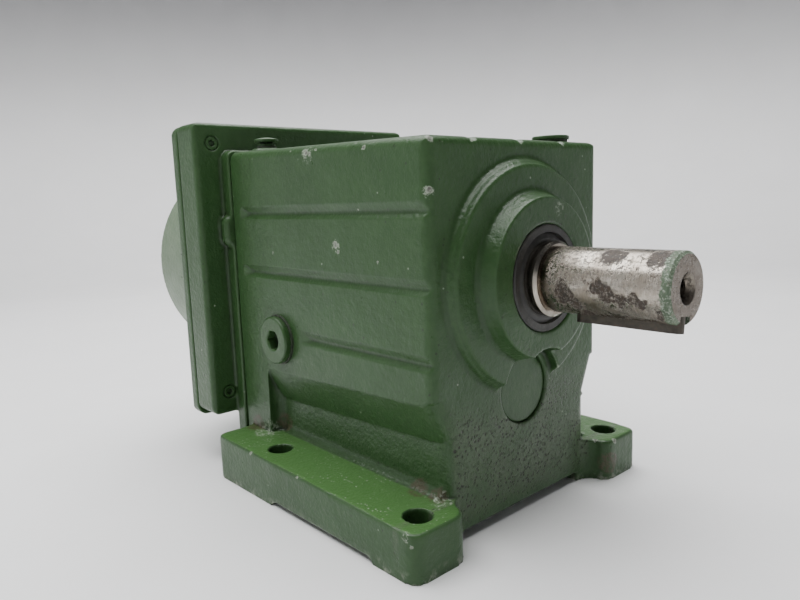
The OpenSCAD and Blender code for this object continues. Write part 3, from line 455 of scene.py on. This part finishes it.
def screw_collar(y, z):
    """Ring of paint that fills most of the gap round a flange screw, as a closed solid."""
    sides = 40
    back, front = FLANGE_X - 0.0045, FLANGE_X - 0.0004
    inner, outer = 0.0042, 0.0050
    verts = []
    faces = []
    for a, (x, r) in enumerate(((back, inner), (back, outer), (front, outer), (front, inner))):
        here, after = a * sides, (a + 1) % 4 * sides
        for k in range(sides):
            turn = math.tau * k / sides
            verts.append((x, y + r * math.cos(turn), z + r * math.sin(turn)))
            other = (k + 1) % sides
            faces.append((here + k, here + other, after + other, after + k))
    return verts, faces


def round_feet(obj):
    """Rounds the outer rims of the feet further than the rest of the casting."""
    def on_rim(x, y, z):
        return RIM_Z[0] < z < RIM_Z[1] and (
            abs(y) > SIDE_RIM_Y or (x > FRONT_RIM_X and abs(y) > FRONT_RIM_Y)
            or (x < BACK_RIM_X and abs(y) > BACK_RIM_Y))

    rim = obj.vertex_groups.new(name="rims")
    rim.add([v.index for v in obj.data.vertices if on_rim(*v.co)], 1.0, "REPLACE")
    roll = obj.modifiers.new("roll", "SMOOTH")
    roll.factor = 0.5
    roll.iterations = 22
    roll.vertex_group = "rims"
    baked(obj)
    obj.vertex_groups.clear()


def add_solid(bm, verts, faces):
    """Adds a closed solid to the mesh, for the remesh to blend in."""
    made = [bm.verts.new(v) for v in verts]
    new = [bm.faces.new([made[i] for i in f]) for f in faces]
    bmesh.ops.recalc_face_normals(bm, faces=new)


def casting(node, voxel, rounds, extras=(), limit=180000):
    """Copy of a CAD node with its edges blended as a casting's are. It replaces the node.

    It is remeshed at the voxel size, smoothed in rounds, and thinned if over limit triangles.
    """
    bm = bmesh.new()
    bm.from_mesh(nodes[node].data)
    for verts, faces in extras:
        add_solid(bm, verts, faces)
    mesh = bpy.data.meshes.new(node + "_source")
    bm.to_mesh(mesh)
    bm.free()
    mesh.materials.clear()
    obj = bpy.data.objects.new(node + "_cast", mesh)
    bpy.context.scene.collection.objects.link(obj)
    remesh = obj.modifiers.new("skin", "REMESH")
    remesh.mode = "VOXEL"
    remesh.voxel_size = voxel
    soften = obj.modifiers.new("soften", "SMOOTH")
    soften.factor = 0.5
    soften.iterations = rounds
    obj = baked(obj)
    if node == "housing":
        round_feet(obj)
    triangles = len(obj.data.polygons) * 2
    if triangles > limit:
        thin = obj.modifiers.new("thin", "DECIMATE")
        thin.ratio = limit / triangles
        obj = baked(obj)
    obj.data.shade_smooth()
    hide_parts(node)
    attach(obj, "gearbox")
    return obj


def baked(obj):
    """Applies obj's modifiers."""
    graph = bpy.context.evaluated_depsgraph_get()
    graph.update()
    mesh = bpy.data.meshes.new_from_object(obj.evaluated_get(graph))
    obj.modifiers.clear()
    obj.data = mesh
    return obj


def give(obj, mat):
    """Makes mat the only material of obj."""
    obj.data.materials.clear()
    obj.data.materials.append(mat)


# Marks on the paint, as (x, y, z, radius)
SIDE_CHIPS = [(-0.0300, -0.0632, 0.1812, 0.0014), (-0.0270, -0.0632, 0.1800, 0.0009),
              (-0.0220, -0.0632, 0.1822, 0.0010), (-0.0440, -0.0632, 0.1830, 0.0009),
              (0.0150, -0.0625, 0.1800, 0.0010), (-0.0090, -0.0632, 0.1361, 0.0014),
              (-0.0070, -0.0632, 0.1325, 0.0008), (0.0540, -0.0610, 0.1600, 0.0013),
              (-0.0660, -0.0632, 0.1300, 0.0006), (0.0220, -0.0632, 0.1290, 0.0006)]
TOP_CHIPS = [(0.0540, -0.0600, 0.1810, 0.0016), (0.0550, -0.0347, 0.1815, 0.0012),
             (0.0550, -0.0007, 0.1815, 0.0014), (0.0550, 0.0322, 0.1815, 0.0012)]
FOOT_CHIPS = [(-0.0617, -0.0878, 0.0240, 0.0010), (-0.0171, -0.0878, 0.0234, 0.0008),
              (0.0640, -0.0868, 0.0170, 0.0006), (0.0670, 0.0640, 0.0215, 0.0014),
              (0.0600, 0.0560, 0.0222, 0.0010)]
SCUFFS = [(0.0545, -0.0620, 0.1590, 0.0035), (-0.0085, -0.0632, 0.1350, 0.0035),
          (0.0610, -0.0872, 0.0205, 0.0024), (0.0660, 0.0085, 0.1500, 0.0050),
          (-0.0820, -0.0650, 0.0250, 0.0080), (0.0531, -0.0575, 0.0235, 0.0050),
          (-0.0290, -0.0632, 0.1800, 0.0050)]
GRIME = [(-0.0940, -0.0640, 0.0260, 0.0070), (0.0380, -0.0570, 0.0240, 0.0060),
         (0.0500, -0.0565, 0.0235, 0.0050), (0.0660, 0.0600, 0.0100, 0.0070),
         (-0.0750, -0.0560, 0.0300, 0.0060)]
RIM_WEAR = [(-0.1030, -0.0640, 0.1868, 0.0028), (-0.1010, -0.0660, 0.1860, 0.0020)]

both_feet = [wedge_along_foot(-1), wedge_along_foot(1)]
housing = casting("housing", 0.0008, 1, both_feet)
give(housing, paint("housing_paint", chips=SIDE_CHIPS + TOP_CHIPS + FOOT_CHIPS, dirt=GRIME,
                    scuffs=SCUFFS, pits=True, foot=True, edge=1.0))
cover = casting("rear_cover", 0.0008, 1, [screw_collar(y, z) for y, z in FLANGE_SCREWS])
give(cover, paint("cover_paint", scuffs=RIM_WEAR, edge=0.9))
adapter = casting("input_adapter", 0.0008, 1)
give(adapter, paint("adapter_paint", edge=0.8, pale_x=NECK_X))
for name, voxel in (("closing_cap", 0.0005), ("side_plugs", 0.0004), ("breather", 0.0003),
                    ("top_plug", 0.0003), ("adapter_screws", 0.00035)):
    give(casting(name, voxel, 2, limit=60000),
         paint(name + "_paint", edge=0.6, dirt_and_shade=1.2, cast=0.6))

# ---------- Finishes of the CAD pieces ----------

finishes = {
    "green_paint": paint("green_paint_m"),
    "painted_steel": paint("painted_steel_m", cast=0.5),
    "seal_rubber": rubber("seal_rubber_m"),
    "bearing_steel": steel("bearing_steel_m", (0.50, 0.50, 0.49), (0.66, 0.66, 0.65), 0.05, 0.22),
    "bearing_balls": steel("bearing_balls_m", (0.62, 0.62, 0.61), (0.72, 0.72, 0.71), 0.0, 0.14),
    "shaft_steel": shaft_steel(),
    "key_steel": steel("key_steel_m", (0.060, 0.055, 0.047), (0.105, 0.095, 0.080), 0.45, 0.46,
                       scale=260, metal=0.85),
    "gear_steel": steel("gear_steel_m", (0.32, 0.31, 0.29), (0.48, 0.47, 0.45), 0.12, 0.32),
    "bare_iron": steel("bare_iron_m", (0.13, 0.125, 0.115), (0.22, 0.21, 0.20), 0.4, 0.55),
    "gasket": soft_sheet("gasket_m", (0.012, 0.014, 0.010), (0.03, 0.033, 0.024)),
    "plug_ring": soft_sheet("plug_ring_m", (0.016, 0.022, 0.013), (0.05, 0.07, 0.04)),
    "dark_steel": steel("dark_steel_m", (0.05, 0.05, 0.05), (0.11, 0.11, 0.105), 0.25, 0.45),
    "plain_steel": steel("plain_steel_m", (0.30, 0.30, 0.29), (0.46, 0.46, 0.45), 0.15, 0.36),
}
for name, obj in nodes.items():
    give(obj, finishes[slots[name]])

# ---------- Floor, light and camera ----------

def backdrop():
    """Pale floor that curves up into a round wall far from the part on every side."""
    reach = 1.15
    bend = 0.5
    wall = 2.4
    quarter = 12
    turns = 96
    profile = [(0.4, 0.0), (reach, 0.0)]
    profile += [(reach + bend * math.sin(a), bend - bend * math.cos(a))
                for a in (math.pi / 2 * k / quarter for k in range(1, quarter + 1))]
    profile += [(reach + bend, wall)]
    verts = [(0, 0, 0)]
    for k in range(turns):
        a = math.tau * k / turns
        verts += [(r * math.cos(a), r * math.sin(a), h) for r, h in profile]
    n = len(profile)
    faces = []
    for k in range(turns):
        here, after = 1 + k * n, 1 + (k + 1) % turns * n
        faces += [(0, here, after)]
        faces += [(here + i, here + i + 1, after + i + 1, after + i) for i in range(n - 1)]
    mesh = bpy.data.meshes.new("backdrop")
    mesh.from_pydata(verts, [], faces)
    mesh.shade_smooth()
    obj = bpy.data.objects.new("backdrop", mesh)
    bpy.context.scene.collection.objects.link(obj)
    t = Tree("floor_m")
    color = t.mix(t.ramp(t.noise(9, 5, 0.6), 0.3, 0.7), (0.86, 0.86, 0.865), (0.89, 0.89, 0.895))
    color = t.mix(t.ramp(t.xyz()[2], 0.10, 0.80, smooth=True), color, (0.15, 0.15, 0.155))
    give(obj, t.finish(color, t.ramp(t.noise(14, 4), 0.3, 0.7, 0.42, 0.55),
                       normal=t.bump(t.noise(420, 3, 0.6), 0.10, 0.0002), spec=0.3))


def soft_light(name, place, aim, size, energy):
    """Rectangular area light at place, turned towards aim."""
    lamp = bpy.data.objects.new(name, bpy.data.lights.new(name, "AREA"))
    lamp.data.shape = "RECTANGLE"
    lamp.data.size, lamp.data.size_y = size
    lamp.data.energy = energy
    lamp.location = place
    lamp.rotation_euler = (Vector(aim) - Vector(place)).to_track_quat("-Z", "Y").to_euler()
    bpy.context.scene.collection.objects.link(lamp)


backdrop()
soft_light("ceiling", (-0.22, -0.02, 1.15), (-0.05, 0.0, 0.1), (1.5, 1.2), 37)
soft_light("window", (-0.75, -1.0, 0.65), (0, 0, 0.1), (0.9, 0.7), 1.6)
soft_light("wall_wash", (-0.75, 0.65, 0.95), (-1.1, 1.0, 0.25), (1.6, 0.5), 7)
world = bpy.data.worlds.new("studio")
bpy.context.scene.world = world
world.use_nodes = True
world.node_tree.nodes["Background"].inputs[0].default_value = (0.95, 0.97, 1.0, 1)
world.node_tree.nodes["Background"].inputs[1].default_value = 0.03

# Camera fitted to the edges of the part in the picture
right = Vector((0.6722, 0.7395, -0.0347))
up = Vector((-0.0870, 0.1255, 0.9883))
back = Vector((0.7352, -0.6613, 0.1488))
eye = bpy.data.objects.new("camera", bpy.data.cameras.new("camera"))
bpy.context.scene.collection.objects.link(eye)
pose = Matrix((right, up, back)).transposed().to_4x4()
pose.translation = Vector((0.2525, -0.2578, 0.1567))
eye.matrix_world = pose
eye.data.lens = 30.24
eye.data.sensor_width = 36
eye.data.clip_start = 0.01
bpy.context.scene.camera = eye
